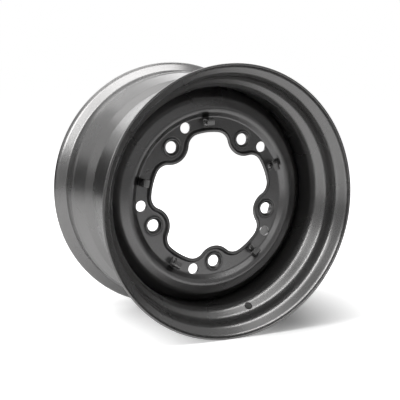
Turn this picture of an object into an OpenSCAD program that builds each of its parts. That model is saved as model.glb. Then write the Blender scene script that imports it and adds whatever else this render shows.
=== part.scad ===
// Welded steel road wheel: a rolled rim hoop, a pressed disc with a five bolt circle,
// and spring clips that hold a hub cap. Millimetres, axle along Y, street side at -Y, Z up.

/* [Bolt circle] */
// Diameter of the circle through the wheel bolts
bolt_circle_d = 205; // [200:0.5:210]
// Turn of the first bolt from the horizontal as the wheel stands
bolt_turn = 58.6; // [0:0.1:360]
// Diameter of a bolt hole
bolt_hole_d = 18; // [15:0.5:19]
// Radius of the ball seat pressed round a bolt hole
seat_ball_r = 13; // [12:0.5:15]
// Length of the straight bolt hole behind the ball seat
seat_land = 3; // [2:0.25:3.5]
// Diameter of the raised ring round a ball seat
boss_d = 26.4; // [25:0.1:28]
// Height of the raised ring above the disc face
boss_h = 2.4; // [1.5:0.1:3]
// Diameter of the groove outside the raised ring
groove_d = 30.4; // [29.8:0.1:31]
// Radius of the round groove outside the raised ring
groove_r = 1.6; // [1.2:0.1:1.8]
// Depth of the groove in the disc face
groove_h = 0.8; // [0.5:0.1:1]

/* [Disc] */
// Sheet thickness of the pressed disc
disc_t = 4.5; // [4:0.1:5.5]
// Width of the flat ring between the opening's lip and the bowl wall
flat_w = 16.75; // [16.5:0.25:20]
// Radial width of the bowl wall
wall_w = 10; // [9:0.5:12]
// Height of the crest above the flat ring
crest_h = 9.5; // [7:0.5:12]
// Radial width from the crest to the shoulder
shoulder_w = 16.5; // [14:0.5:18]
// Height of the shoulder above the flat ring
shoulder_h = 3.5; // [2:0.5:5]
// Depth of the welding flange's start below the flat ring
flange_drop = 14; // [12:0.5:18]
// Distance from the welding flange's edge to the rear bend of the well
flange_gap = 10; // [8:0.5:14]
// Bend radius at the foot of the bowl wall
foot_r = 6; // [4:0.5:7]
// Bend radius of the crest
crest_r = 8; // [5:0.5:9]
// Bend radius of the shoulder
shoulder_r = 14; // [10:1:18]
// Bend radius into the welding flange
flange_r = 10; // [6:1:14]

/* [Centre opening] */
// Diameter of the opening between the bolt lobes
opening_d = 199; // [194:0.5:203]
// Radius of the lobe that carries a bolt hole
lobe_r = 30.2; // [29:0.2:32]
// Distance of a lobe's centre outside the bolt circle
lobe_shift = 4.5; // [3:0.25:6]
// Radius that joins a lobe to the opening
root_r = 18.5; // [16:0.5:20]
// Angle of the turned lip to the disc face
lip_a = 60; // [50:1:70]
// Height of the turned lip
lip_h = 6.8; // [5:0.2:8]
// Bend radius of the turned lip
lip_bend_r = 4; // [3:0.25:5]
// Thinning of the sheet where the lip is drawn
lip_thinning = 0.1; // [0.06:0.02:0.4]
// Rounding of the lip's edge
lip_edge_r = 1.2; // [0.4:0.1:1.6]

/* [Access holes] */
// Diameter of an access hole
access_d = 16.5; // [14:0.5:17]
// Turn of an access hole from its bolt
access_turn = 18.1; // [17.5:0.1:18.5]
// Distance from an access hole to the foot of the bowl wall
access_edge = 0.9; // [0.6:0.1:2]

/* [Rim] */
// Sheet thickness of the rolled rim
rim_t = 3.2; // [2.6:0.1:3.8]
// Width of the rim over its lips
rim_w = 232.4; // [220:0.2:245]
// Distance from the rim's middle to the mounting face
rim_offset = 29; // [24:0.5:34]
// Bead seat diameter
bead_d = 380.2; // [378:0.1:382]
// Height of the flange above the bead seat
flange_h = 14.5; // [13:0.25:16]
// Length of the lip at the flange's edge
lip_l = 8; // [6:0.5:9]
// Angle of the lip to the axle
lip_flare_a = 26; // [20:1:32]
// Angle of the flange to the axle
flange_a = 43; // [40:1:48]
// Angle of the bead seats
seat_a = 5; // [4:0.5:6]
// Length of the street side bead seat
seat_front_l = 15.5; // [13:0.5:18]
// Length of the rear bead seat
seat_rear_l = 18.5; // [16:0.5:20]
// Height of the safety hump on the rear seat
hump_h = 1.3; // [1:0.1:1.6]
// Width of the safety hump
hump_w = 11; // [9:0.5:13]
// Depth of the well below the bead seat
well_depth = 18.1; // [17:0.1:20]
// Angle of the street side well wall
cone_a = 37.5; // [34:0.5:42]
// Angle of the rear ledge
ledge_a = 15; // [13:0.5:17]
// Length of the rear ledge
ledge_l = 29.6; // [26:0.2:32]
// Angle of the rear well wall
well_a = 22.6; // [20:0.2:28]
// Bend radius of the lips
rim_lip_r = 8; // [5:0.5:10]
// Bend radius between bead seat and flange
heel_r = 7; // [5:0.5:8]
// Bend radius at the top of the well
well_top_r = 12; // [8:0.5:14]
// Bend radius at the bottom of the well
well_foot_r = 9; // [6:0.5:12]
// Bend radius of the safety hump
hump_r = 5; // [4:0.5:6]
// Rounding of the rim's rolled edges
rim_edge_r = 0.9; // [0.4:0.1:1.2]

/* [Valve hole] */
// Diameter of the valve hole
valve_d = 11.5; // [10:0.1:12.5]
// Turn of the valve hole from the first bolt
valve_turn = 228.3; // [220:0.1:236]

/* [Hub cap clips] */
// Thickness of the spring strip
clip_t = 1.2; // [0.8:0.1:1.6]
// Width of the spring strip
clip_w = 12; // [9:0.5:14]
// Height of a clip above the disc face
clip_h = 17.6; // [14:0.2:20]
// Height of the clip's bulge above the disc face
clip_bulge_h = 9.5; // [8:0.5:11]
// Reach of the bulge beyond the clip's foot
clip_bulge = 1.2; // [0.6:0.1:2]
// Length of the foot from its inner edge to the rivet
clip_toe = 4.4; // [4.2:0.1:5]
// Length of the foot from the rivet to the bend
clip_heel = 7.8; // [7:0.1:8.5]
// Length of the hook that faces the axle
clip_hook_l = 9; // [7:0.5:10]
// Drop of the hook's tip
clip_hook_drop = 1.6; // [0.5:0.1:2.5]
// Bend radius of the strip
clip_bend_r = 2.5; // [1.5:0.1:3]
// Bend radius of the bulge and of the hook
clip_hook_r = 3.2; // [2:0.1:4]
// Gap between the opening's lip and a clip's foot
clip_gap = 0.9; // [0.6:0.1:1.5]

/* [Rivets and welds] */
// Shank diameter of a clip rivet
rivet_d = 5; // [4:0.1:5.5]
// Head diameter of a clip rivet
rivet_head_d = 8; // [7:0.1:8.4]
// Height of the rivet's head
rivet_head_h = 1.8; // [1.2:0.1:2.4]
// Diameter of the rivet's tail in the mounting face
rivet_tail_d = 7.6; // [7:0.1:8.4]
// Depth of the countersink for the rivet's tail
rivet_tail_h = 1.4; // [1:0.1:2]
// Depth of the tail's end below the mounting face
rivet_sink = 0.2; // [0.1:0.05:0.4]
// Clearance round a rivet's shank and tail
rivet_clear = 0.1; // [0.05:0.01:0.15]
// Leg of the fillet welds behind the disc
weld_leg = 4; // [3:0.1:4.4]
// Rise of a weld's face
weld_rise = 0.5; // [0.2:0.1:0.8]
// Number of welds
weld_count = 5; // [4:1:6]
// Length of a weld in degrees
weld_span = 50; // [30:1:56]

/* [Hidden] */
bolt_count = 5;
$fn = 180;
arc_steps = 8;
lip_steps = 3;
valley_steps = 3;
root_steps = 6;
lobe_steps = 9;
cut = 1;
lip_band = 1;
wall_shift = 0.3;
seat_lap = 0.1;
step_a = 360 / bolt_count;

// Rim section values
bead_r = bead_d / 2;
rim_half = rim_t / 2;
lip_front_z = rim_w / 2 - rim_offset;
lip_rear_z = -rim_w / 2 - rim_offset;
well_r = bead_r - well_depth - rim_half;
well_inner_r = well_r - rim_half;

// Disc section values
disc_mid = disc_t / 2;
bolt_r = bolt_circle_d / 2;
opening_r = opening_d / 2;
lip_t = disc_t - lip_thinning;
lip_end = lip_t / 2 * sin(lip_a);
lip_corner = lip_end + lip_h / tan(lip_a);
lip_depth = lip_corner + lip_bend_r * tan(lip_a / 2);
flat_r = opening_r + lip_depth + flat_w;
crest_at = flat_r + wall_w;
shoulder_at = crest_at + shoulder_w;
flange_at = well_inner_r - disc_mid;

// Places that line up with other pieces
bolt_hole_r = bolt_hole_d / 2;
seat_r = groove_d / 2 + groove_r;
lobe_at = bolt_r + lobe_shift;
root_at = opening_r - root_r;
root_a = acos((lobe_at^2 + root_at^2 - (lobe_r + root_r)^2) / (2 * lobe_at * root_at));
root_x = root_at * cos(root_a);
root_y = root_at * sin(root_a);
lobe_a = atan2(root_y, lobe_at - root_x);
access_at = flat_r - access_edge - access_d / 2;
rivet_at = opening_r + lip_depth + clip_gap + clip_toe;

// Rounded outlines and bent sheet
function unit(v) = v / norm(v);
function turn_left(v) = [-v.y, v.x];
function side(a, b, c) = sign(cross(b - a, c - b));
function arc(m, r, from, to, n) = [for (k = [0:n]) let (t = from + (to - from) * k / n) m + r * [cos(t), sin(t)]];
function bend(a, b, c, r, n) =
    let (u = unit(a - b), v = unit(c - b), half = acos(u * v) / 2)
    let (m = b + unit(u + v) * r / sin(half), p = b + u * r / tan(half) - m, q = b + v * r / tan(half) - m)
    let (from = atan2(p.y, p.x), to = from + (atan2(q.y, q.x) - from + 540) % 360 - 180)
    arc(m, r, from, to, n);
function rounded_loop(p, r, n) = let (m = len(p))
    [for (i = [0:m - 1]) each (r[i] > 0 ? bend(p[(i + m - 1) % m], p[i], p[(i + 1) % m], r[i], n) : [p[i]])];
function shifted(p, d) = let (n = len(p) - 1)
    [for (i = [0:n]) let (a = turn_left(unit(p[max(i, 1)] - p[max(i, 1) - 1])),
                          b = turn_left(unit(p[min(i, n - 1) + 1] - p[min(i, n - 1)])))
        p[i] + d * (a + b) / (1 + a * b)];
function shifted_radii(p, r, d, edge) = let (n = len(p) - 1)
    [for (i = [0:n]) i == 0 || i == n ? edge[i == 0 ? 0 : 1] : r[i] - d * side(p[i - 1], p[i], p[i + 1])];
function reversed(p) = [for (i = [len(p) - 1:-1:0]) p[i]];
function bent_sheet(p, r, t, edge, n = arc_steps) = rounded_loop(
    concat(shifted(p, t / 2), reversed(shifted(p, -t / 2))),
    concat(shifted_radii(p, r, t / 2, edge), reversed(shifted_radii(p, r, -t / 2, edge))), n);

// One flange of the rim, from its edge to the heel of the bead seat
function flange_points(edge_z, s) =
    let (edge = [bead_r + flange_h - rim_half * cos(lip_flare_a), edge_z - s * rim_half * sin(lip_flare_a)])
    let (lip = edge - lip_l * [sin(lip_flare_a), s * cos(lip_flare_a)])
    let (heel_x = bead_r - rim_half)
    [edge, lip, [heel_x, lip.y - s * (lip.x - heel_x) / tan(flange_a)]];

// Middle line of the rim sheet from the street side lip to the rear lip
front = flange_points(lip_front_z, 1);
rear = flange_points(lip_rear_z, -1);
seat_front = front[2] - seat_front_l * [tan(seat_a), 1];
well_front = [well_r, seat_front.y - (seat_front.x - well_r) / tan(cone_a)];
seat_rear = rear[2] + seat_rear_l * [-tan(seat_a), 1];
hump_top = seat_rear + [hump_h, hump_w / 2];
hump_end = seat_rear + hump_w * [-tan(seat_a), 1];
ledge_end = hump_end + ledge_l * [-tan(ledge_a), 1];
well_rear = [well_r, ledge_end.y + (ledge_end.x - well_r) / tan(well_a)];
rim_line = concat(front, [seat_front, well_front, well_rear, ledge_end, hump_end, hump_top, seat_rear], reversed(rear));
rim_radii = [0, rim_lip_r, heel_r, well_top_r, well_foot_r, well_foot_r, well_top_r, hump_r, hump_r, hump_r,
             heel_r, rim_lip_r, 0];

// Middle line of the disc sheet from inside the lobes to the edge of the welding flange
flange_end_z = well_rear.y + flange_gap;
disc_line = [[lobe_at - lobe_r, disc_mid], [flat_r, disc_mid], [crest_at, disc_mid + crest_h],
             [shoulder_at, disc_mid + shoulder_h], [flange_at, disc_mid - flange_drop], [flange_at, flange_end_z]];
disc_radii = [0, foot_r, crest_r, shoulder_r, flange_r, 0];

// Section of the turned lip, by distance from the opening's edge
lip_line = [[lip_depth + lip_band, disc_mid], [lip_corner, disc_mid], [lip_end, disc_mid + lip_h]];
lip_section = bent_sheet(lip_line, [0, lip_bend_r, 0], lip_t, [0, lip_edge_r], lip_steps);

// Outline of the opening, moved out by d, made of the same arcs as the lip
function spun(p, a) = [for (q = p) [q.x * cos(a) - q.y * sin(a), q.x * sin(a) + q.y * cos(a)]];
function part_arc(m, r, from, to, n, shift) = let (step = (to - from) / n)
    [for (k = [0:n - 1]) let (t = from + step * (k + shift)) m + r * [cos(t), sin(t)]];
function lobe_outline(d, shift) = concat(
    part_arc([0, 0], opening_r + d, root_a - step_a, -root_a, valley_steps, shift),
    part_arc([root_x, -root_y], root_r + d, -root_a, lobe_a, root_steps, shift),
    part_arc([lobe_at, 0], lobe_r - d, 180 + lobe_a, 180 - lobe_a, lobe_steps, shift),
    part_arc([root_x, root_y], root_r + d, -lobe_a, root_a, root_steps, shift));
function opening_outline(d, shift = 0) =
    [for (k = [0:bolt_count - 1]) each spun(lobe_outline(d, shift), k * step_a)];

// Middle line of a clip's strip, by distance from the axle and height above the mounting face
clip_foot_z = disc_t + clip_t / 2;
clip_line = [[rivet_at - clip_toe, clip_foot_z], [rivet_at + clip_heel, clip_foot_z],
             [rivet_at + clip_heel + clip_bulge, disc_t + clip_bulge_h], [rivet_at + clip_heel, disc_t + clip_h],
             [rivet_at + clip_heel - clip_hook_l, disc_t + clip_h - clip_hook_drop]];
clip_radii = [0, clip_bend_r, clip_hook_r, clip_hook_r, 0];
function clip_angle(k) = bolt_turn - step_a / 2 + k * step_a;

// The wheel is drawn on its back and then stood up
module upright() { rotate([90, 0, 0]) children(); }

module at_bolts() { for (k = [0:bolt_count - 1]) rotate(bolt_turn + k * step_a) children(); }

module valve_drill() {
    middle = (seat_front + well_front) / 2;
    rotate(bolt_turn + valve_turn) translate([middle.x, 0, middle.y]) rotate([0, -90 + cone_a, 0])
        cylinder(d = valve_d, h = 2 * valve_d, center = true);
}

module rim_hoop() {
    color("#56575a") upright() difference() {
        rotate_extrude() polygon(bent_sheet(rim_line, rim_radii, rim_t, [rim_edge_r, rim_edge_r]));
        valve_drill();
    }
}

// The lip's section swept round the opening's outline as one closed ring
module turned_lip() {
    rings = [for (q = lip_section) opening_outline(q.x)];
    m = len(lip_section);
    n = len(rings[0]);
    points = [for (i = [0:n - 1], j = [0:m - 1]) [rings[j][i].x, rings[j][i].y, lip_section[j].y]];
    faces = [for (i = [0:n - 1], j = [0:m - 1]) let (a = (i + 1) % n, b = (j + 1) % m)
        [i * m + j, a * m + j, a * m + b, i * m + b]];
    rotate(bolt_turn) polyhedron(points, faces);
}

// A bolt hole's ball seat with its raised ring and groove, turned in one section
module bolt_seat() {
    ball_z = seat_land + sqrt(seat_ball_r^2 - bolt_hole_r^2);
    rotate_extrude() difference() {
        union() {
            translate([bolt_hole_r, 0]) square([seat_r - bolt_hole_r, disc_t]);
            translate([boss_d / 2, disc_t]) circle(boss_h);
        }
        translate([groove_d / 2, disc_t + groove_r - groove_h]) circle(groove_r);
        translate([0, ball_z]) circle(seat_ball_r);
    }
}

// The pressed sheet with its holes, up to the band where the lip starts
module drilled_sheet() {
    difference() {
        rotate_extrude() polygon(bent_sheet(disc_line, disc_radii, disc_t, [0, rim_edge_r]));
        rotate(bolt_turn) translate([0, 0, -cut]) linear_extrude(disc_t + 2 * cut)
            polygon(opening_outline(lip_depth + lip_band / 2, wall_shift));
        at_bolts() {
            translate([bolt_r, 0, -cut]) cylinder(r = seat_r - seat_lap, h = disc_t + 2 * cut);
            rotate(-access_turn) translate([access_at, 0, -cut]) cylinder(d = access_d, h = disc_t + crest_h);
            rotate(-step_a / 2) translate([rivet_at, 0, 0]) rivet_shank(rivet_clear, -cut, disc_t + cut);
        }
    }
}

module wheel_disc() {
    color("#4d4d4f") upright() {
        drilled_sheet();
        at_bolts() translate([bolt_r, 0, 0]) bolt_seat();
        turned_lip();
    }
}

module hub_cap_clip(k) {
    color("#5b5b5d") upright() rotate(clip_angle(k)) difference() {
        rotate([90, 0, 0]) linear_extrude(clip_w, center = true)
            polygon(bent_sheet(clip_line, clip_radii, clip_t, [0, 0]));
        translate([rivet_at, 0, disc_t - cut]) cylinder(d = rivet_d + 2 * rivet_clear, h = clip_t + 2 * cut);
    }
}

// A rivet's shank with its countersunk tail, or with a gap round it the hole for both
module rivet_shank(gap, low, top) {
    r = rivet_d / 2 + gap;
    taper = (rivet_tail_d - rivet_d) / 2 / rivet_tail_h;
    rotate_extrude()
        polygon([[0, low], [r + taper * (rivet_tail_h - low), low], [r, rivet_tail_h], [r, top], [0, top]]);
}

module rivet_head() {
    ball_r = (rivet_head_d^2 / 4 + rivet_head_h^2) / (2 * rivet_head_h);
    intersection() {
        translate([0, 0, rivet_head_h - ball_r]) sphere(ball_r);
        cylinder(d = rivet_head_d + cut, h = rivet_head_h + cut);
    }
}

module clip_rivet() {
    rivet_shank(0, rivet_sink, disc_t + clip_t);
    translate([0, 0, disc_t + clip_t]) rivet_head();
}

module clip_rivets() {
    color("#606062") upright() for (k = [0:bolt_count - 1])
        rotate(clip_angle(k)) translate([rivet_at, 0, 0]) clip_rivet();
}

module weld_beads() {
    corner = [well_inner_r, flange_end_z];
    face = weld_leg / 2 * [-1, -1] + weld_rise * [-1, -1] / sqrt(2);
    color("#505052") upright() for (k = [0:weld_count - 1])
        rotate(bolt_turn + k * 360 / weld_count - weld_span / 2) rotate_extrude(angle = weld_span)
            polygon([corner, corner + [0, -weld_leg], corner + face, corner + [-weld_leg, 0]]);
}

rim_hoop();
wheel_disc();
hub_cap_clip(1);  // hub_cap_clip_1
hub_cap_clip(2);  // hub_cap_clip_2
hub_cap_clip(3);  // hub_cap_clip_3
hub_cap_clip(4);  // hub_cap_clip_4
hub_cap_clip(5);  // hub_cap_clip_5
clip_rivets();
weld_beads();
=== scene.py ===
"""Looks of a welded steel road wheel: smooth painted sheets for the solids, a pale floor and studio light."""
import math

import bpy
import numpy as np
from mathutils import Matrix, Vector
from mathutils.geometry import delaunay_2d_cdt


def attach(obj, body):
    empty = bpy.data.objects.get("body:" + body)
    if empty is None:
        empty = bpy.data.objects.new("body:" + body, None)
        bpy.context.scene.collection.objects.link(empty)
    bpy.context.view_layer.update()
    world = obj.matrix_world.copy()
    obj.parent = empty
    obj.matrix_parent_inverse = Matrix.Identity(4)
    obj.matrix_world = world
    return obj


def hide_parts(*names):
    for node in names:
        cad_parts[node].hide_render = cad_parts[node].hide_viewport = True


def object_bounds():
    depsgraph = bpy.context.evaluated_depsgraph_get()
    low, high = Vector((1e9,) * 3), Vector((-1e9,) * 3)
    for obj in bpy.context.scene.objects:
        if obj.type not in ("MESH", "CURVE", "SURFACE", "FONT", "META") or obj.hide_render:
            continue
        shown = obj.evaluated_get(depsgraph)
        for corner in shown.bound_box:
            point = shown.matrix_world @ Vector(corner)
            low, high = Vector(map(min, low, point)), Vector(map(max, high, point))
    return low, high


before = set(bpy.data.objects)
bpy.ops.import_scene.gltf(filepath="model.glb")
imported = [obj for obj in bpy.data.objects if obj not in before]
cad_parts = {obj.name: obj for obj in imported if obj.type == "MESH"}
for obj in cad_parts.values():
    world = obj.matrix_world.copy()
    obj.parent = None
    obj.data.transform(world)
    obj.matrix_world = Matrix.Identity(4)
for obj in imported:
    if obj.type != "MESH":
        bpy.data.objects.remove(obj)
cad_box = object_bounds()

# Sizes in millimetres, as the solids have them
MM = 0.001
BOLT_COUNT = 5
STEP = math.tau / BOLT_COUNT
BOLT_TURN = math.radians(58.6)
BOLT_R = 102.5
BOLT_HOLE_R = 9.0

DISC_T = 4.5
DISC_MID = DISC_T / 2
OPENING_R = 99.5
LOBE_R = 30.2
LOBE_OUT = 4.5
LOBE_AT = BOLT_R + LOBE_OUT
ROOT_R = 18.5
LIP_A = math.radians(60)
LIP_H = 6.8
LIP_BEND_R = 4.0
LIP_EDGE_R = 1.2
LIP_END = DISC_MID * math.sin(LIP_A)
LIP_CORNER = LIP_END + LIP_H / math.tan(LIP_A)
LIP_DEPTH = LIP_CORNER + LIP_BEND_R * math.tan(LIP_A / 2)
FLAT_W = 16.75
FLAT_R = OPENING_R + LIP_DEPTH + FLAT_W
WALL_W = 10.0
CREST_H = 9.5
CREST_AT = FLAT_R + WALL_W
SLOPE_W = 16.5
SHOULDER_AT = CREST_AT + SLOPE_W
SHOULDER_H = 3.5
FLANGE_DROP = 14.0
FLANGE_GAP = 10.0
FOOT_R = 6.0
CREST_R = 8.0
SHOULDER_R = 14.0
FLANGE_R = 10.0
ACCESS_R = 8.25
ACCESS_TURN = math.radians(18.1)
ACCESS_MARGIN = 0.9
ACCESS_AT = FLAT_R - ACCESS_MARGIN - ACCESS_R

RIM_T = 3.2
RIM_HALF = RIM_T / 2
RIM_W = 232.4
RIM_OFFSET = 29.0
BEAD_R = 190.1
FLANGE_H = 14.5
LIP_L = 8.0
LIP_FLARE_A = math.radians(26)
FLANGE_A = math.radians(43)
SEAT_A = math.radians(5)
SEAT_FRONT_L = 15.5
SEAT_REAR_L = 18.5
HUMP_H = 1.3
HUMP_W = 11.0
WELL_DEPTH = 18.1
CONE_A = math.radians(37.5)
LEDGE_A = math.radians(15)
LEDGE_L = 29.6
WELL_A = math.radians(22.6)
HEEL_R = 7.0
WELL_TOP_R = 12.0
WELL_FOOT_R = 9.0
HUMP_R = 5.0
RIM_EDGE_R = 0.9
WELL_R = BEAD_R - WELL_DEPTH - RIM_HALF
WELL_INNER_R = WELL_R - RIM_HALF
VALVE_R = 5.75
VALVE_TURN = BOLT_TURN + math.radians(228.3)

CLIP_T = 1.2
CLIP_W = 12.0
CLIP_H = 17.6
CLIP_BULGE_H = 9.5
CLIP_BULGE = 1.2
CLIP_TOE = 4.4
CLIP_HEEL = 7.8
CLIP_HOOK_L = 9.0
CLIP_HOOK_DROP = 1.6
CLIP_BEND_R = 2.5
CLIP_HOOK_R = 3.2
CLIP_MARGIN = 0.9
RIVET_AT = OPENING_R + LIP_DEPTH + CLIP_MARGIN + CLIP_TOE
RIVET_R = 4.0
RIVET_HEAD_H = 1.8
RIVET_SHANK_R = 2.5
RIVET_TAIL_R = 3.8
RIVET_TAIL_H = 1.4
RIVET_SINK = 0.2
RIVET_CLEAR = 0.1
WELD_LEG = 4.0
WELD_RISE = 0.5
WELD_SPAN = math.radians(50)

# The drawn rim's curled lips, steeper flats and softer bends, about 2 mm from the solid at most
CURL_A = math.radians(10.5)
CURL_R = 11.3
STEEP_FLANGE_A = math.radians(48)
STEEP_CONE_A = math.radians(46)
HEEL_FRONT_R = 14.7
SEAT_FRONT_R = 20.6
CONE_FOOT_R = 20.4

# Fineness of the meshes
TURNS = 360
ARC_STEP = math.radians(7)
ARC_LEAST = 3
EDGE_STEPS = 4
HOLE_POINTS = 56
SEAT_TURNS = 64
RIVET_TURNS = 32
POINT_DIGITS = 3
NORMAL_DIGITS = 1
FILL_TYPE = 0
FILL_TOLERANCE = 1e-6


def clip_angle(k):
    """Where the clip of that number stands, halfway between two bolts."""
    return BOLT_TURN - STEP / 2 + k * STEP


# Sections of bent sheet
def unit(v):
    return v / np.linalg.norm(v)


def left_of(v):
    return np.array([-v[1], v[0]])


def corner_arc(a, b, c, radius):
    """Points and directions of travel where the corner at b is rounded."""
    u = unit(a - b)
    v = unit(c - b)
    half = math.acos(np.clip(u @ v, -1, 1)) / 2
    middle = b + unit(u + v) * radius / math.sin(half)
    start = b + u * radius / math.tan(half) - middle
    turn = (math.pi - 2 * half) * np.sign(u[1] * v[0] - u[0] * v[1])
    first = math.atan2(start[1], start[0])
    count = max(ARC_LEAST, math.ceil(abs(turn) / ARC_STEP))
    angles = first + turn * np.arange(count + 1) / count
    spokes = np.stack([np.cos(angles), np.sin(angles)], axis=1)
    travel = np.stack([-spokes[:, 1], spokes[:, 0]], axis=1) * np.sign(turn)
    return middle + radius * spokes, travel


def rounded(points, radii, closed):
    """A path with rounded corners: its points, and the normal on the left of travel at each."""
    points = [np.asarray(p, float) for p in points]
    count = len(points)
    places = []
    travels = []
    for i, (point, radius) in enumerate(zip(points, radii)):
        before = points[(i - 1) % count]
        after = points[(i + 1) % count]
        inside = closed or 0 < i < count - 1
        if inside and radius > 0:
            arc, travel = corner_arc(before, point, after, radius)
            places.extend(arc)
            travels.extend(travel)
            continue
        if inside or i > 0:
            places.append(point)
            travels.append(unit(point - before))
        if inside or i == 0:
            places.append(point)
            travels.append(unit(after - point))
    normals = np.array([left_of(t) for t in travels])
    return np.array(places), normals


def shifted(path, d):
    """The path moved to its left by d."""
    path = [np.asarray(p, float) for p in path]
    sides = [left_of(unit(b - a)) for a, b in zip(path, path[1:])]
    befores = [sides[0]] + sides
    afters = sides + [sides[-1]]
    return [p + d * (a + b) / (1 + a @ b) for p, a, b in zip(path, befores, afters)]


def shifted_radii(path, radii, d):
    """Bend radii of the path moved to its left by d."""
    out = []
    for i, radius in enumerate(radii):
        if 0 < i < len(path) - 1:
            u = np.subtract(path[i], path[i - 1])
            v = np.subtract(path[i + 1], path[i])
            radius = radius - d * np.sign(u[0] * v[1] - u[1] * v[0])
        out.append(radius)
    return out


def bent_sheet(path, radii, thickness, closed=True):
    """Outline of a bent sheet, left side first. The radii at the ends round the sheet's edges."""
    half = thickness / 2
    points = shifted(path, half) + shifted(path, -half)[::-1]
    bends = shifted_radii(path, radii, half) + shifted_radii(path, radii, -half)[::-1]
    return rounded(points, bends, closed)


# Meshes with exact normals
class Surface:
    """Collects points of the wheel lying on its back, with their normals and faces."""

    def __init__(self):
        self.points = []
        self.normals = []
        self.faces = []
        self.count = 0

    def add(self, points, normals, faces):
        self.points.append(np.reshape(points, (-1, 3)))
        self.normals.append(np.reshape(normals, (-1, 3)))
        self.faces.extend(tuple(int(i) + self.count for i in face) for face in faces)
        self.count += len(self.points[-1])

    def add_grid(self, points, normals, wrap_rows=False, wrap_columns=False, skip=()):
        """Quads over a grid of rows by columns, apart from those whose (row, column) is in skip."""
        rows, columns = points.shape[:2]
        faces = []
        for i in range(rows if wrap_rows else rows - 1):
            for j in range(columns if wrap_columns else columns - 1):
                if (i, j) in skip:
                    continue
                k = (i + 1) % rows
                m = (j + 1) % columns
                faces.append((i * columns + j, k * columns + j, k * columns + m, i * columns + m))
        self.add(points, normals, faces)

    def build(self, name):
        points = np.concatenate(self.points)
        normals = np.concatenate(self.normals)
        normals = normals / np.linalg.norm(normals, axis=1)[:, None]
        places = np.round(points, POINT_DIGITS)
        ways = np.round(normals, NORMAL_DIGITS)
        keys = np.concatenate([places, ways], axis=1) + 0.0
        _, first, where = np.unique(keys, axis=0, return_index=True, return_inverse=True)
        where = where.reshape(-1)
        points = upright(points[first]) * MM
        normals = upright(normals[first])
        faces = []
        for face in self.faces:
            face = list(dict.fromkeys(where[i] for i in face))
            if len(face) < 3:
                continue
            flat = np.cross(points[face[1]] - points[face[0]], points[face[2]] - points[face[0]])
            if flat @ normals[face].sum(axis=0) < 0:
                face.reverse()
            faces.append(face)
        mesh = bpy.data.meshes.new(name)
        mesh.from_pydata(points.tolist(), [], faces)
        mesh.shade_smooth()
        mesh.normals_split_custom_set_from_vertices(normals.tolist())
        piece = bpy.data.objects.new(name, mesh)
        bpy.context.scene.collection.objects.link(piece)
        return piece


def upright(points):
    """Stands the lying wheel up: its street side turns from +Z to -Y."""
    return np.stack([points[:, 0], -points[:, 2], points[:, 1]], axis=1)


def ring_angles(count, start=0.0, span=math.tau, closed=True):
    return start + span * np.arange(count) / (count if closed else count - 1)


def lathed(profile, normals, angles):
    """A profile of (radius, height) turned about the axle: rows along the profile, columns round it."""
    cos = np.cos(angles)
    sin = np.sin(angles)

    def turned(values):
        x = values[:, :1] * cos
        y = values[:, :1] * sin
        z = np.repeat(values[:, 1:], len(angles), axis=1)
        return np.stack([x, y, z], axis=2)

    return turned(profile), turned(normals)


def spun(points, angle, centre=(0.0, 0.0, 0.0)):
    """Points moved out by centre and then turned about the axle."""
    c = math.cos(angle)
    s = math.sin(angle)
    p = np.reshape(points, (-1, 3)) + np.asarray(centre, float)
    return np.stack([p[:, 0] * c - p[:, 1] * s, p[:, 0] * s + p[:, 1] * c, p[:, 2]], axis=1)


def filled(loops, extra, keep):
    """Triangles between loops of plane points, where keep(middles) is true, with extra points inside."""
    points = [Vector(p) for loop in loops for p in loop]
    edges = []
    start = 0
    for loop in loops:
        count = len(loop)
        edges.extend((start + i, start + (i + 1) % count) for i in range(count))
        start += count
    points.extend(Vector(p) for p in extra)
    verts, _, faces, _, _, _ = delaunay_2d_cdt(points, edges, [], FILL_TYPE, FILL_TOLERANCE)
    plane = np.array([[v.x, v.y] for v in verts])
    faces = np.array(faces)
    return plane, faces[keep(plane[faces].mean(axis=1))]


def in_loop(points, loop):
    """Whether each point lies inside the closed loop."""
    a = np.asarray(loop)
    b = np.roll(a, -1, axis=0)
    x = points[:, :1]
    y = points[:, 1:]
    crosses = (a[:, 1] > y) != (b[:, 1] > y)
    rise = np.where(b[:, 1] == a[:, 1], 1.0, b[:, 1] - a[:, 1])
    at = a[:, 0] + (y - a[:, 1]) * (b[:, 0] - a[:, 0]) / rise
    return (crosses & (x < at)).sum(axis=1) % 2 == 1


def circle(centre, radius, count):
    angles = ring_angles(count)
    return np.stack([centre[0] + radius * np.cos(angles), centre[1] + radius * np.sin(angles)], axis=1)


def place_round(surface, points, normals, turn, at):
    """Adds a turned grid whose own axis lies at that angle and distance from the axle."""
    shape = points.shape
    surface.add_grid(spun(points, turn, (at, 0, 0)).reshape(shape), spun(normals, turn).reshape(shape),
                     wrap_columns=True)


def add_hole_wall(surface, top, bottom, centre, axis, edge):
    """Wall of a drilled hole between two loops on the sheet's faces, its edges rounded by edge."""
    middle = np.asarray(centre, float)
    axis = np.asarray(axis, float)
    spokes = top - middle
    spokes = spokes - np.outer(spokes @ axis, axis)
    spokes = spokes / np.linalg.norm(spokes, axis=1)[:, None]
    rows = []
    bends = np.linspace(0, math.pi / 2, EDGE_STEPS + 1)
    for a in bends:
        place = top - edge * (math.sin(a) * spokes + (1 - math.cos(a)) * axis)
        rows.append((place, math.cos(a) * axis - math.sin(a) * spokes))
    for a in bends[::-1]:
        place = bottom - edge * (math.sin(a) * spokes - (1 - math.cos(a)) * axis)
        rows.append((place, -math.cos(a) * axis - math.sin(a) * spokes))
    points = np.array([r[0] for r in rows])
    normals = np.array([r[1] for r in rows])
    surface.add_grid(points, normals, wrap_columns=True)


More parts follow.
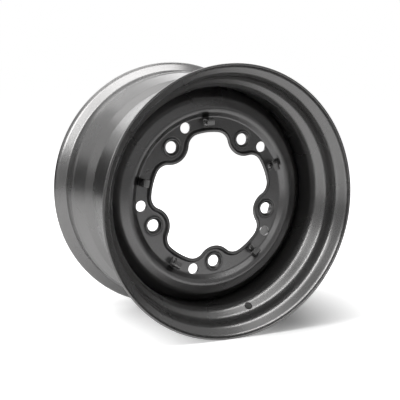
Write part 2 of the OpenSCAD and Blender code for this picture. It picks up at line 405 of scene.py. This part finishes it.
# Rim hoop
def meeting(a, a_way, b, b_way):
    """Where the lines through a and b meet."""
    along = np.linalg.solve(np.stack([a_way, -b_way], axis=1), b - a)[0]
    return a + along * a_way


def slanted(angle, s=1):
    """Direction in a section that leaves the axle's by that angle."""
    return np.array([math.sin(angle), s * math.cos(angle)])


def flange_points(edge_z, s):
    """Middle line of one flange: its edge, curl and foot, and the heel that the solid has."""
    across = np.array([math.cos(LIP_FLARE_A), s * math.sin(LIP_FLARE_A)])
    edge = np.array([BEAD_R + FLANGE_H, edge_z]) - RIM_HALF * across
    lip = edge - LIP_L * slanted(LIP_FLARE_A, s)
    heel_r = BEAD_R - RIM_HALF
    heel = np.array([heel_r, lip[1] - s * (lip[0] - heel_r) / math.tan(FLANGE_A)])
    middle = (lip + heel) / 2
    rise = slanted(STEEP_FLANGE_A, s)
    curl = meeting(middle, rise, edge, slanted(CURL_A, s))
    foot = middle + rise * (heel_r - middle[0]) / rise[0]
    return [edge, curl, foot], heel


front, front_heel = flange_points(RIM_W / 2 - RIM_OFFSET, 1)
rear, rear_heel = flange_points(-RIM_W / 2 - RIM_OFFSET, -1)
cone_top = front_heel - SEAT_FRONT_L * np.array([math.tan(SEAT_A), 1])
cone_foot = np.array([WELL_R, cone_top[1] - (cone_top[0] - WELL_R) / math.tan(CONE_A)])
valve_at = (cone_top + cone_foot) / 2
seat_front = meeting(valve_at, slanted(STEEP_CONE_A), cone_top, slanted(SEAT_A))
well_front = meeting(valve_at, slanted(STEEP_CONE_A), cone_foot, slanted(0))
seat_rear = rear_heel + SEAT_REAR_L * np.array([-math.tan(SEAT_A), 1])
hump_top = seat_rear + np.array([HUMP_H, HUMP_W / 2])
hump_end = seat_rear + HUMP_W * np.array([-math.tan(SEAT_A), 1])
ledge_end = hump_end + LEDGE_L * np.array([-math.tan(LEDGE_A), 1])
well_rear = np.array([WELL_R, ledge_end[1] + (ledge_end[0] - WELL_R) / math.tan(WELL_A)])
RIM_LINE = front + [seat_front, well_front, well_rear, ledge_end, hump_end, hump_top, seat_rear] + rear[::-1]
RIM_BENDS = [RIM_EDGE_R, CURL_R, HEEL_FRONT_R, SEAT_FRONT_R, CONE_FOOT_R, WELL_FOOT_R, WELL_TOP_R,
             HUMP_R, HUMP_R, HUMP_R, HEEL_R, CURL_R, RIM_EDGE_R]
VALVE_EDGE = 0.7
VALVE_LOOP_R = VALVE_R + VALVE_EDGE
VALVE_WINDOW = 6
VALVE_MARGIN = 0.8
VALVE_REACH = 3 * VALVE_R
valve_way = slanted(CONE_A)


def turned_by(section, turn):
    """Section points or normals, each turned about the axle by its own angle."""
    return np.stack([section[:, 0] * np.cos(turn), section[:, 0] * np.sin(turn), section[:, 1]], axis=1)


def valve_rows(profile, normals, side):
    """Rows of one face of the rim that the valve hole passes through."""
    axis = left_of(valve_way) * side
    away = profile - valve_at
    near = np.abs(away @ valve_way) < VALVE_LOOP_R + VALVE_MARGIN
    near &= np.linalg.norm(away, axis=1) < VALVE_REACH
    found = np.nonzero(near & (normals @ axis > 0))[0]
    return np.arange(found.min() - 1, found.max() + 2)


def valve_patch(surface, profile, normals, rows, angles, window):
    """Fills the gap left in one face of the rim round the valve hole, and gives the hole's loop in space."""
    along = (profile[rows] - valve_at) @ valve_way
    order = np.argsort(along)
    along = along[order]
    line = profile[rows][order]
    facing = normals[rows][order]
    columns = np.unwrap(angles[window] - VALVE_TURN)

    def section(values, at):
        return np.stack([np.interp(at, along, values[:, 0]), np.interp(at, along, values[:, 1])], axis=1)

    def plane_of(at, turn):
        return np.stack([at, turn * valve_at[0]], axis=1)

    inner_rows = [plane_of(np.full(len(columns), at), columns) for at in along]
    border = np.concatenate([inner_rows[0], inner_rows[-1][::-1]])
    spokes = ring_angles(HOLE_POINTS)
    down = VALVE_LOOP_R * np.cos(spokes)
    loop = plane_of(down, np.arcsin(VALVE_LOOP_R * np.sin(spokes) / section(line, down)[:, 0]))
    extra = np.concatenate([row[1:-1] for row in inner_rows[1:-1]])
    extra = extra[np.linalg.norm(extra, axis=1) > VALVE_LOOP_R + VALVE_MARGIN / 2]
    sides = np.concatenate([row[[0, -1]] for row in inner_rows[1:-1]])
    extra = np.concatenate([extra, sides])
    plane, faces = filled([border, loop], extra, lambda middles: ~in_loop(middles, loop))

    def turn_of(points):
        return points[:, 1] / valve_at[0] + VALVE_TURN

    surface.add(turned_by(section(line, plane[:, 0]), turn_of(plane)),
                turned_by(section(facing, plane[:, 0]), turn_of(plane)), faces)
    return turned_by(section(line, loop[:, 0]), turn_of(loop))


def make_rim():
    surface = Surface()
    profile, normals = bent_sheet(RIM_LINE, RIM_BENDS, RIM_T)
    angles = ring_angles(TURNS)
    points, facing = lathed(profile, normals, angles)
    nearest = round(VALVE_TURN / math.tau * TURNS)
    window = np.arange(nearest - VALVE_WINDOW, nearest + VALVE_WINDOW + 1) % TURNS
    loops = []
    skip = set()
    for side in (1, -1):
        rows = valve_rows(profile, normals, side)
        loops.append(valve_patch(surface, profile, normals, rows, angles, window))
        skip.update((int(i), int(j)) for i in rows[:-1] for j in window[:-1])
    surface.add_grid(points, facing, wrap_rows=True, wrap_columns=True, skip=skip)
    spot = np.array([VALVE_TURN])
    axis = turned_by(left_of(valve_way)[None], spot)[0]
    centre = turned_by(valve_at[None], spot)[0]
    add_hole_wall(surface, loops[0], loops[1], centre, axis, VALVE_EDGE)
    return surface.build("rim_shell")


# Pressed disc
WALL_A = math.atan2(CREST_H, WALL_W)
FOOT_AT = FLAT_R - FOOT_R * math.tan(WALL_A / 2)
PLATE_OVER = 2.0
PLATE_R = FOOT_AT + PLATE_OVER
PLATE_RINGS = 4
RING_CLEAR = 0.3
LIP_BAND = 0.3
SEAT_R = 17.0
ACCESS_EDGE = 0.8
ROOT_AT = OPENING_R - ROOT_R
ROOT_A = math.acos((LOBE_AT**2 + ROOT_AT**2 - (LOBE_R + ROOT_R)**2) / (2 * LOBE_AT * ROOT_AT))
ROOT_X = ROOT_AT * math.cos(ROOT_A)
ROOT_Y = ROOT_AT * math.sin(ROOT_A)
LOBE_A = math.atan2(ROOT_Y, LOBE_AT - ROOT_X)
VALLEY_STEPS = 10
ROOT_STEPS = 16
LOBE_STEPS = 24


def outline_arc(centre, radius, start, end, count, side):
    """Stations on one arc of the opening's edge, and the way into the sheet at each."""
    angles = start + (end - start) * np.arange(count) / count
    spokes = np.stack([np.cos(angles), np.sin(angles)], axis=1)
    return np.asarray(centre) + radius * spokes, side * spokes


def opening_stations():
    """Points of the opening's edge in order round the axle, and the way into the sheet at each."""
    arcs = [outline_arc((0, 0), OPENING_R, ROOT_A - STEP, -ROOT_A, VALLEY_STEPS, 1),
            outline_arc((ROOT_X, -ROOT_Y), ROOT_R, -ROOT_A, LOBE_A, ROOT_STEPS, 1),
            outline_arc((LOBE_AT, 0), LOBE_R, math.pi + LOBE_A, math.pi - LOBE_A, LOBE_STEPS, -1),
            outline_arc((ROOT_X, ROOT_Y), ROOT_R, -LOBE_A, ROOT_A, ROOT_STEPS, 1)]
    edge = np.concatenate([a[0] for a in arcs])
    inward = np.concatenate([a[1] for a in arcs])
    edges = []
    inwards = []
    for k in range(BOLT_COUNT):
        turn = BOLT_TURN + k * STEP
        spin = np.array([[math.cos(turn), math.sin(turn)], [-math.sin(turn), math.cos(turn)]])
        edges.append(edge @ spin)
        inwards.append(inward @ spin)
    return np.concatenate(edges), np.concatenate(inwards)


def foot_height(r, radius):
    """Height and slope of a face of the sheet, of that bend radius, at the foot of the bowl wall."""
    over = np.maximum(r - FOOT_AT, 0.0)
    drop = np.sqrt(radius**2 - over**2)
    return DISC_MID + FOOT_R - drop, over / drop


def add_plate(surface, edge, inward):
    """Both faces of the flat ring, from the lip to the foot of the bowl wall, with the holes of both."""
    opening = edge + (LIP_DEPTH + LIP_BAND) * inward
    border = circle((0, 0), PLATE_R, TURNS)
    seats = []
    holes = []
    for k in range(BOLT_COUNT):
        turn = BOLT_TURN + k * STEP
        seat = np.append(circle((BOLT_R, 0), SEAT_R, SEAT_TURNS), np.zeros((SEAT_TURNS, 1)), axis=1)
        seats.append(spun(seat, turn)[:, :2])
        at = ACCESS_AT * np.array([math.cos(turn - ACCESS_TURN), math.sin(turn - ACCESS_TURN)])
        holes.append((at, circle(at, ACCESS_R + ACCESS_EDGE, HOLE_POINTS)))
    rings = []
    for k in range(PLATE_RINGS):
        ring = circle((0, 0), FOOT_AT + (PLATE_R - FOOT_AT) * k / PLATE_RINGS, TURNS)
        reach = ACCESS_R + ACCESS_EDGE + RING_CLEAR
        clear = [np.linalg.norm(ring - at, axis=1) > reach for at, _ in holes]
        rings.append(ring[np.all(clear, axis=0)])
    sinks = []
    for k in range(BOLT_COUNT):
        at = RIVET_AT * np.array([math.cos(clip_angle(k)), math.sin(clip_angle(k))])
        sinks.append(circle(at, RIVET_TAIL_R + RIVET_CLEAR, RIVET_TURNS))
    gaps = {1: [opening] + seats + [loop for _, loop in holes]}
    gaps[-1] = gaps[1] + sinks
    levels = {1: FOOT_R - DISC_MID, -1: FOOT_R + DISC_MID}

    def raised(points, side):
        radius = np.linalg.norm(points, axis=1)
        height, slope = foot_height(radius, levels[side])
        spokes = points / radius[:, None]
        normals = np.concatenate([-slope[:, None] * spokes, np.ones((len(points), 1))], axis=1) * side
        return np.concatenate([points, height[:, None]], axis=1), normals

    for side, loops in gaps.items():
        def keep(middles):
            return ~np.any([in_loop(middles, loop) for loop in loops], axis=0)

        plane, faces = filled([border] + loops, np.concatenate(rings), keep)
        placed, normals = raised(plane, side)
        surface.add(placed, normals, faces)
    for at, loop in holes:
        centre = np.append(at, DISC_MID)
        add_hole_wall(surface, raised(loop, 1)[0], raised(loop, -1)[0], centre, (0, 0, 1), ACCESS_EDGE)


def add_lip(surface, edge, inward):
    """The turned lip, one bent section swept round the opening."""
    path = [(LIP_DEPTH + LIP_BAND, DISC_MID), (LIP_CORNER, DISC_MID), (LIP_END, DISC_MID + LIP_H)]
    half = DISC_MID
    left = shifted(path, half)
    right = shifted(path, -half)
    bends = [0, LIP_BEND_R, LIP_EDGE_R]
    outline = left + right[::-1]
    radii = shifted_radii(path, bends, half) + shifted_radii(path, bends, -half)[::-1]
    section, normals = rounded(outline, radii, closed=False)
    rows = []
    facing = []
    for (d, z), (nd, nz) in zip(section, normals):
        flat = edge + d * inward
        rows.append(np.concatenate([flat, np.full((len(edge), 1), z)], axis=1))
        facing.append(np.concatenate([nd * inward, np.full((len(edge), 1), nz)], axis=1))
    surface.add_grid(np.array(rows), np.array(facing), wrap_columns=True)


flange_at = WELL_INNER_R - DISC_MID
flange_end = well_rear[1] + FLANGE_GAP
DISC_LINE = [(FOOT_AT - FOOT_R, DISC_MID), (FLAT_R, DISC_MID), (CREST_AT, DISC_MID + CREST_H),
             (SHOULDER_AT, DISC_MID + SHOULDER_H), (flange_at, DISC_MID - FLANGE_DROP),
             (flange_at, flange_end)]
DISC_BENDS = [0, FOOT_R, CREST_R, SHOULDER_R, FLANGE_R, RIM_EDGE_R]
BOWL_GAP = 0.05


def add_bowl(surface):
    """The bowl wall, crest, shoulder and welding flange, turned from the plate's border on."""
    profile, normals = bent_sheet(DISC_LINE, DISC_BENDS, DISC_T, closed=False)
    beyond = profile[:, 0] > PLATE_R + BOWL_GAP
    ends = []
    for side, radius in ((1, FOOT_R - DISC_MID), (-1, FOOT_R + DISC_MID)):
        height, slope = foot_height(np.array([PLATE_R]), radius)
        way = side * unit(np.array([-slope[0], 1.0]))
        ends.append((np.array([[PLATE_R, height[0]]]), np.array([way])))
    profile = np.concatenate([ends[0][0], profile[beyond], ends[1][0]])
    normals = np.concatenate([ends[0][1], normals[beyond], ends[1][1]])
    points, facing = lathed(profile, normals, ring_angles(TURNS))
    surface.add_grid(points, facing, wrap_columns=True)


# Section of a ball seat about its bolt hole, from the plate's front to its back
SHORE = (16.3, DISC_T)
GROOVE = (15.35, 3.3)
RING_TOP = (13.0, 7.9)
BALL = (10.6, 4.6)
BALL_FOOT = (BOLT_HOLE_R, 2.9)
GROOVE_BEND = 0.9
RING_BEND = 1.1
BALL_BEND = 4.0
FOOT_BEND = 0.5
BACK_BEND = 0.6
SEAT_LINE = [(SEAT_R, DISC_T), SHORE, GROOVE, RING_TOP, BALL, BALL_FOOT, (BOLT_HOLE_R, 0), (SEAT_R, 0)]
SEAT_BENDS = [0, GROOVE_BEND, GROOVE_BEND, RING_BEND, BALL_BEND, FOOT_BEND, BACK_BEND, 0]


def add_bolt_seats(surface):
    """Ball seats with their raised rings and grooves."""
    profile, normals = rounded(SEAT_LINE, SEAT_BENDS, closed=False)
    points, facing = lathed(profile, -normals, ring_angles(SEAT_TURNS))
    for k in range(BOLT_COUNT):
        place_round(surface, points, facing, BOLT_TURN + k * STEP, BOLT_R)


SINK_LINE = [(RIVET_TAIL_R + RIVET_CLEAR, 0), (RIVET_SHANK_R + RIVET_CLEAR, RIVET_TAIL_H)]


def add_sinks(surface):
    """Countersinks of the rivets in the mounting face."""
    profile, normals = rounded(SINK_LINE, [0, 0], closed=False)
    points, facing = lathed(profile, normals, ring_angles(RIVET_TURNS))
    for k in range(BOLT_COUNT):
        place_round(surface, points, facing, clip_angle(k), RIVET_AT)


def make_disc():
    surface = Surface()
    edge, inward = opening_stations()
    add_lip(surface, edge, inward)
    add_plate(surface, edge, inward)
    add_bowl(surface)
    add_bolt_seats(surface)
    add_sinks(surface)
    return surface.build("disc_shell")


# Hub cap clips, rivets and welds
CLIP_FOOT_Z = DISC_T + CLIP_T / 2
CLIP_HEEL_AT = RIVET_AT + CLIP_HEEL
CLIP_LINE = [(RIVET_AT - CLIP_TOE, CLIP_FOOT_Z), (CLIP_HEEL_AT, CLIP_FOOT_Z),
             (CLIP_HEEL_AT + CLIP_BULGE, DISC_T + CLIP_BULGE_H), (CLIP_HEEL_AT, DISC_T + CLIP_H),
             (CLIP_HEEL_AT - CLIP_HOOK_L, DISC_T + CLIP_H - CLIP_HOOK_DROP)]
CLIP_EDGE = 0.35
CLIP_BENDS = [CLIP_EDGE, CLIP_BEND_R, CLIP_HOOK_R, CLIP_HOOK_R, CLIP_EDGE]


def make_clip(k):
    """One bent spring strip with softly rounded edges."""
    surface = Surface()
    profile, normals = bent_sheet(CLIP_LINE, CLIP_BENDS, CLIP_T)
    rows = []
    facing = []
    bends = np.linspace(0, math.pi / 2, EDGE_STEPS + 1)
    for side, order in ((-1, bends[::-1]), (1, bends)):
        for a in order:
            inset = CLIP_EDGE * (1 - math.cos(a))
            at = profile - inset * normals
            y = side * (CLIP_W / 2 - CLIP_EDGE * (1 - math.sin(a)))
            rows.append(np.stack([at[:, 0], np.full(len(at), y), at[:, 1]], axis=1))
            out = np.concatenate([math.cos(a) * normals, np.full((len(at), 1), side * math.sin(a))], axis=1)
            facing.append(out[:, [0, 2, 1]])
    rows = np.array(rows)
    facing = np.array(facing)
    shape = rows.shape
    turn = clip_angle(k)
    surface.add_grid(spun(rows, turn).reshape(shape), spun(facing, turn).reshape(shape), wrap_columns=True)
    count = len(profile)
    for row, side in ((0, -1.0), (-1, 1.0)):
        flat = np.tile([0.0, side, 0.0], (count, 1))
        half = count // 2
        strip = [(i, i + 1, count - 2 - i, count - 1 - i) for i in range(half - 1)]
        surface.add(spun(rows[row], turn), spun(flat, turn), strip)
    return surface.build("clip_strip_%d" % k)


RIVET_EDGE_R = 0.3
TAIL_LINE = [(RIVET_SHANK_R, RIVET_TAIL_H), (RIVET_TAIL_R, RIVET_SINK), (0, RIVET_SINK)]


def make_rivets():
    """Domed heads on the clips and flush tails in the mounting face."""
    surface = Surface()
    ball = (RIVET_R**2 + RIVET_HEAD_H**2) / (2 * RIVET_HEAD_H)
    rise = np.arange(math.asin(RIVET_R / ball), -ARC_STEP / 2, -ARC_STEP)
    spokes = np.stack([np.sin(rise), np.cos(rise)], axis=1)
    head = ball * spokes + np.array([0, DISC_T + CLIP_T + RIVET_HEAD_H - ball])
    tail, facing = rounded(TAIL_LINE, [0, RIVET_EDGE_R, 0], closed=False)
    for profile, normals in ((head, spokes), (tail, -facing)):
        turned = lathed(profile, normals, ring_angles(RIVET_TURNS))
        for k in range(BOLT_COUNT):
            place_round(surface, *turned, clip_angle(k), RIVET_AT)
    return surface.build("rivet_set")


WELD_TURNS = 260
WELD_RIPPLES = 46
WELD_RIPPLE_H = 0.16
WELD_ROWS = 9
WELD_TAPER = 24
WELD_END = 1e-3
HALF_ROOT = math.sqrt(0.5)


def make_welds():
    """Fillet welds with the scales that each pass leaves."""
    surface = Surface()
    for k in range(BOLT_COUNT):
        share = np.linspace(0, 1, WELD_TURNS)
        angles = BOLT_TURN + k * STEP + WELD_SPAN * (share - 0.5)
        swell = np.minimum(1, np.sqrt(np.minimum(share, 1 - share) * WELD_TAPER)) + WELD_END
        ripple = WELD_RIPPLE_H * np.abs(np.sin(math.pi * WELD_RIPPLES * share))
        rows = []
        for lean in np.linspace(0, math.pi / 2, WELD_ROWS):
            bulge = (WELD_RISE - ripple) * math.sin(2 * lean)
            blend = math.sin(lean)**2
            leg = WELD_LEG * swell
            r = WELL_INNER_R - leg * blend - bulge * swell * HALF_ROOT
            z = flange_end - leg * (1 - blend) - bulge * swell * HALF_ROOT
            rows.append(np.stack([r * np.cos(angles), r * np.sin(angles), z], axis=1))
        rows = np.array(rows)
        along = np.gradient(rows, axis=1)
        across = np.gradient(rows, axis=0)
        surface.add_grid(rows, np.cross(across, along))
    return surface.build("weld_set")


# Paint
METALLIC = 0.92
COAT = 0.12
COAT_ROUGHNESS = 0.3
FLAKE_SCALE = 1400
FLAKE_DETAIL = 2
CLOUD_SCALE = 9
CLOUD_DETAIL = 3
PEEL_SCALE = 420
PEEL_DETAIL = 2
PEEL_STRENGTH = 0.06
PEEL_DEPTH = 0.0004
NOISE_LOW = 0.3
NOISE_HIGH = 0.7
GLOSS_SPREAD = 0.03


def link(tree, source, target):
    tree.links.new(source, target)


def paint(name, dark, light, roughness):
    """Satin metallic paint with fine flake, orange peel and slightly uneven gloss."""
    material = bpy.data.materials.new(name)
    material.use_nodes = True
    tree = material.node_tree
    shader = tree.nodes["Principled BSDF"]
    shader.inputs["Metallic"].default_value = METALLIC
    shader.inputs["Coat Weight"].default_value = COAT
    shader.inputs["Coat Roughness"].default_value = COAT_ROUGHNESS
    place = tree.nodes.new("ShaderNodeTexCoord").outputs["Object"]

    def noise(scale, detail):
        node = tree.nodes.new("ShaderNodeTexNoise")
        node.inputs["Scale"].default_value = scale
        node.inputs["Detail"].default_value = detail
        link(tree, place, node.inputs["Vector"])
        return node.outputs["Fac"]

    def ramp(value, low, high):
        node = tree.nodes.new("ShaderNodeMapRange")
        node.inputs["From Min"].default_value = NOISE_LOW
        node.inputs["From Max"].default_value = NOISE_HIGH
        node.inputs["To Min"].default_value = low
        node.inputs["To Max"].default_value = high
        link(tree, value, node.inputs["Value"])
        return node.outputs["Result"]

    flake = noise(FLAKE_SCALE, FLAKE_DETAIL)
    cloud = noise(CLOUD_SCALE, CLOUD_DETAIL)
    colour = tree.nodes.new("ShaderNodeValToRGB")
    colour.color_ramp.elements[0].position = NOISE_LOW
    colour.color_ramp.elements[0].color = (*dark, 1)
    colour.color_ramp.elements[1].position = NOISE_HIGH
    colour.color_ramp.elements[1].color = (*light, 1)
    link(tree, flake, colour.inputs["Fac"])
    link(tree, colour.outputs["Color"], shader.inputs["Base Color"])
    gloss = ramp(cloud, roughness - GLOSS_SPREAD, roughness + GLOSS_SPREAD)
    link(tree, gloss, shader.inputs["Roughness"])
    bump = tree.nodes.new("ShaderNodeBump")
    bump.inputs["Strength"].default_value = PEEL_STRENGTH
    bump.inputs["Distance"].default_value = PEEL_DEPTH
    link(tree, noise(PEEL_SCALE, PEEL_DETAIL), bump.inputs["Height"])
    link(tree, bump.outputs["Normal"], shader.inputs["Normal"])
    return material


def dress(piece, node, material):
    piece.data.materials.append(material)
    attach(piece, "root")
    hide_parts(node)


RIM_DARK = (0.175, 0.173, 0.172)
RIM_LIGHT = (0.245, 0.242, 0.241)
DISC_DARK = (0.145, 0.143, 0.143)
DISC_LIGHT = (0.2, 0.198, 0.198)
WELD_DARK = (0.14, 0.138, 0.138)
WELD_LIGHT = (0.19, 0.188, 0.188)
RIM_ROUGHNESS = 0.27
DISC_ROUGHNESS = 0.29
WELD_ROUGHNESS = 0.33
rim_paint = paint("rim_satin_paint", RIM_DARK, RIM_LIGHT, RIM_ROUGHNESS)
disc_paint = paint("disc_satin_paint", DISC_DARK, DISC_LIGHT, DISC_ROUGHNESS)
clip_paint = paint("clip_satin_paint", RIM_DARK, RIM_LIGHT, RIM_ROUGHNESS)
weld_paint = paint("weld_satin_paint", WELD_DARK, WELD_LIGHT, WELD_ROUGHNESS)
dress(make_rim(), "rim_hoop", rim_paint)
dress(make_disc(), "wheel_disc", disc_paint)
for k in range(1, BOLT_COUNT + 1):
    dress(make_clip(k), "hub_cap_clip_%d" % k, clip_paint)
dress(make_rivets(), "clip_rivets", clip_paint)
dress(make_welds(), "weld_beads", weld_paint)

# Floor, light and camera, in metres
STUDIO_ROUGHNESS = 0.9
PAPER = (0.9, 0.9, 0.9)
BLACK = (0.02, 0.02, 0.02)
FLOOR_SPAN = 60.0
FLOOR_Z = cad_box[0][2]
# Painted light on the floor: its glow for the camera fades out within these distances of a spot below the
# barrel, and in reflections it glows more behind the wheel than before it
FLOOR_SHADE_AT = (0.09, 0.07, FLOOR_Z)
FLOOR_SHADE_R = 0.08
FLOOR_WHITE_R = 0.32
FLOOR_DIM_Y = -1.0
FLOOR_WHITE_Y = -0.15
FLOOR_GLOW = 0.2
WORLD_DIM_Y = -0.35
WORLD_WHITE_Y = 0.25
WORLD_DIM = 0.38
WORLD_BRIGHT = 0.7


def panel(name, corners, material):
    """A flat piece of the studio, which isn't part of the object."""
    mesh = bpy.data.meshes.new(name)
    mesh.from_pydata(corners, [], [tuple(range(len(corners)))])
    mesh.materials.append(material)
    piece = bpy.data.objects.new(name, mesh)
    bpy.context.scene.collection.objects.link(piece)
    return piece


def plain(name, colour):
    """A matt surface of the studio, with no gloss."""
    material = bpy.data.materials.new(name)
    material.use_nodes = True
    shader = material.node_tree.nodes["Principled BSDF"]
    shader.inputs["Base Color"].default_value = (*colour, 1)
    shader.inputs["Roughness"].default_value = STUDIO_ROUGHNESS
    shader.inputs["Specular IOR Level"].default_value = 0.0
    return material


def math_node(tree, operation, first, second):
    node = tree.nodes.new("ShaderNodeMath")
    node.operation = operation
    link(tree, first, node.inputs[0])
    link(tree, second, node.inputs[1])
    return node.outputs["Value"]


def along_y(tree, coordinates, near, far, low, high):
    """A value that goes softly from low to high between two places along Y."""
    split = tree.nodes.new("ShaderNodeSeparateXYZ")
    link(tree, tree.nodes.new("ShaderNodeTexCoord").outputs[coordinates], split.inputs["Vector"])
    node = tree.nodes.new("ShaderNodeMapRange")
    node.interpolation_type = "SMOOTHSTEP"
    node.inputs["From Min"].default_value = near
    node.inputs["From Max"].default_value = far
    node.inputs["To Min"].default_value = low
    node.inputs["To Max"].default_value = high
    link(tree, split.outputs["Y"], node.inputs["Value"])
    return node.outputs["Result"]


def mirror_rays(tree, path):
    """One for rays that a gloss or a clear surface sends on, and nothing for the others."""
    return math_node(tree, "MAXIMUM", path.outputs["Is Glossy Ray"], path.outputs["Is Transmission Ray"])


def make_floor():
    """White paper that glows as painted light: Light Path lifts it to white for the camera, though less below
    the barrel, and reflections see it glow faintly behind the wheel.
    """
    half = FLOOR_SPAN / 2
    material = plain("studio_paper", PAPER)
    tree = material.node_tree
    shader = tree.nodes["Principled BSDF"]
    shader.inputs["Emission Color"].default_value = (1, 1, 1, 1)
    path = tree.nodes.new("ShaderNodeLightPath")
    away = tree.nodes.new("ShaderNodeVectorMath")
    away.operation = "DISTANCE"
    away.inputs[1].default_value = FLOOR_SHADE_AT
    link(tree, tree.nodes.new("ShaderNodeTexCoord").outputs["Object"], away.inputs[0])
    white = tree.nodes.new("ShaderNodeMapRange")
    white.inputs["From Min"].default_value = FLOOR_SHADE_R
    white.inputs["From Max"].default_value = FLOOR_WHITE_R
    link(tree, away.outputs["Value"], white.inputs["Value"])
    seen = math_node(tree, "MULTIPLY", path.outputs["Is Camera Ray"], white.outputs["Result"])
    mirrored = mirror_rays(tree, path)
    glow = along_y(tree, "Object", FLOOR_DIM_Y, FLOOR_WHITE_Y, 0, FLOOR_GLOW)
    mirrored = math_node(tree, "MULTIPLY", mirrored, glow)
    link(tree, math_node(tree, "MAXIMUM", seen, mirrored), shader.inputs["Emission Strength"])
    corners = [(-half, -half, FLOOR_Z), (half, -half, FLOOR_Z), (half, half, FLOOR_Z), (-half, half, FLOOR_Z)]
    panel("studio_floor", corners, material)


def make_world():
    """White to the camera, and in reflections dim before the wheel and brighter behind it."""
    world = bpy.data.worlds.new("studio_world")
    bpy.context.scene.world = world
    world.use_nodes = True
    tree = world.node_tree
    back = tree.nodes["Background"]
    back.inputs["Color"].default_value = (1, 1, 1, 1)
    light = along_y(tree, "Generated", WORLD_DIM_Y, WORLD_WHITE_Y, WORLD_DIM, WORLD_BRIGHT)
    path = tree.nodes.new("ShaderNodeLightPath")
    mirrored = math_node(tree, "MULTIPLY", mirror_rays(tree, path), light)
    link(tree, math_node(tree, "MAXIMUM", path.outputs["Is Camera Ray"], mirrored), back.inputs["Strength"])


def make_flag(name, start, end, top, material):
    """A dark upright panel that the camera doesn't see, which darkens reflections and light."""
    corners = [(*start, FLOOR_Z), (*end, FLOOR_Z), (*end, top), (*start, top)]
    panel(name, corners, material).visible_camera = False


def softbox(name, place, width, depth, level, along):
    """A soft lamp that faces the wheel, with its width along that axis, level times as bright as white."""
    lamp = bpy.data.lights.new(name, "AREA")
    lamp.shape = "RECTANGLE"
    lamp.size = width
    lamp.size_y = depth
    lamp.energy = level * math.pi * width * depth
    piece = bpy.data.objects.new(name, lamp)
    back = Vector(place).normalized()
    side = Vector(along) - back * back.dot(Vector(along))
    side.normalize()
    turn = Matrix((side, back.cross(side), back)).transposed().to_4x4()
    piece.matrix_world = Matrix.Translation(Vector(place)) @ turn
    bpy.context.scene.collection.objects.link(piece)


IMAGE = 400
SENSOR = 36.0
VIEW_END = 100.0
FOCUS_PX = 874.518
SHIFT_PX = (9.723, -3.685)
AZIMUTH = math.radians(-26.577)
ELEVATION = math.radians(8.593)
DISTANCE = 1.35348
ROLL = math.radians(1.093)
AIM = Vector((0, -0.00225, 0))


def make_camera():
    """The camera where the photograph was taken from."""
    back = Vector((math.sin(AZIMUTH) * math.cos(ELEVATION), -math.cos(AZIMUTH) * math.cos(ELEVATION),
                   math.sin(ELEVATION)))
    level = Vector((math.cos(AZIMUTH), math.sin(AZIMUTH), 0))
    top = back.cross(level)
    right = math.cos(ROLL) * level + math.sin(ROLL) * top
    up = math.cos(ROLL) * top - math.sin(ROLL) * level
    data = bpy.data.cameras.new("photo_camera")
    data.sensor_width = SENSOR
    data.lens = FOCUS_PX * SENSOR / IMAGE
    data.shift_x = -SHIFT_PX[0] / IMAGE
    data.shift_y = SHIFT_PX[1] / IMAGE
    data.clip_end = VIEW_END
    camera = bpy.data.objects.new("photo_camera", data)
    turn = Matrix((right, up, back)).transposed().to_4x4()
    camera.matrix_world = Matrix.Translation(AIM + DISTANCE * back) @ turn
    bpy.context.scene.collection.objects.link(camera)
    bpy.context.scene.camera = camera


make_floor()
make_world()
flag_black = plain("flag_black", BLACK)
make_flag("back_flag", start=(-2.6, 1.0), end=(-0.55, 1.5), top=0.4, material=flag_black)
make_flag("right_flag", start=(1.7, -1.2), end=(1.7, 1.0), top=0.45, material=flag_black)
ACROSS = (1, 0, 0)
ALONG_AXLE = (0, 1, 0)
softbox("top_softbox", place=(-0.2, -0.24, 1.7), width=2.2, depth=0.6, level=5.0, along=ACROSS)
softbox("top_front_softbox", place=(-0.3, -0.85, 1.5), width=2.0, depth=0.6, level=1.0, along=ACROSS)
softbox("left_softbox", place=(-1.45, -0.2, 1.0), width=0.6, depth=1.0, level=7.0, along=ALONG_AXLE)
softbox("left_front_softbox", place=(-1.3, -1.0, 0.8), width=0.7, depth=0.7, level=1.2, along=ALONG_AXLE)
softbox("back_softbox", place=(0.1, 1.8, 1.2), width=1.8, depth=0.9, level=1.8, along=ACROSS)
softbox("high_back_softbox", place=(-0.4, 0.8, 1.8), width=1.8, depth=0.8, level=1.2, along=ACROSS)
make_camera()
bpy.context.scene.view_settings.view_transform = "Standard"
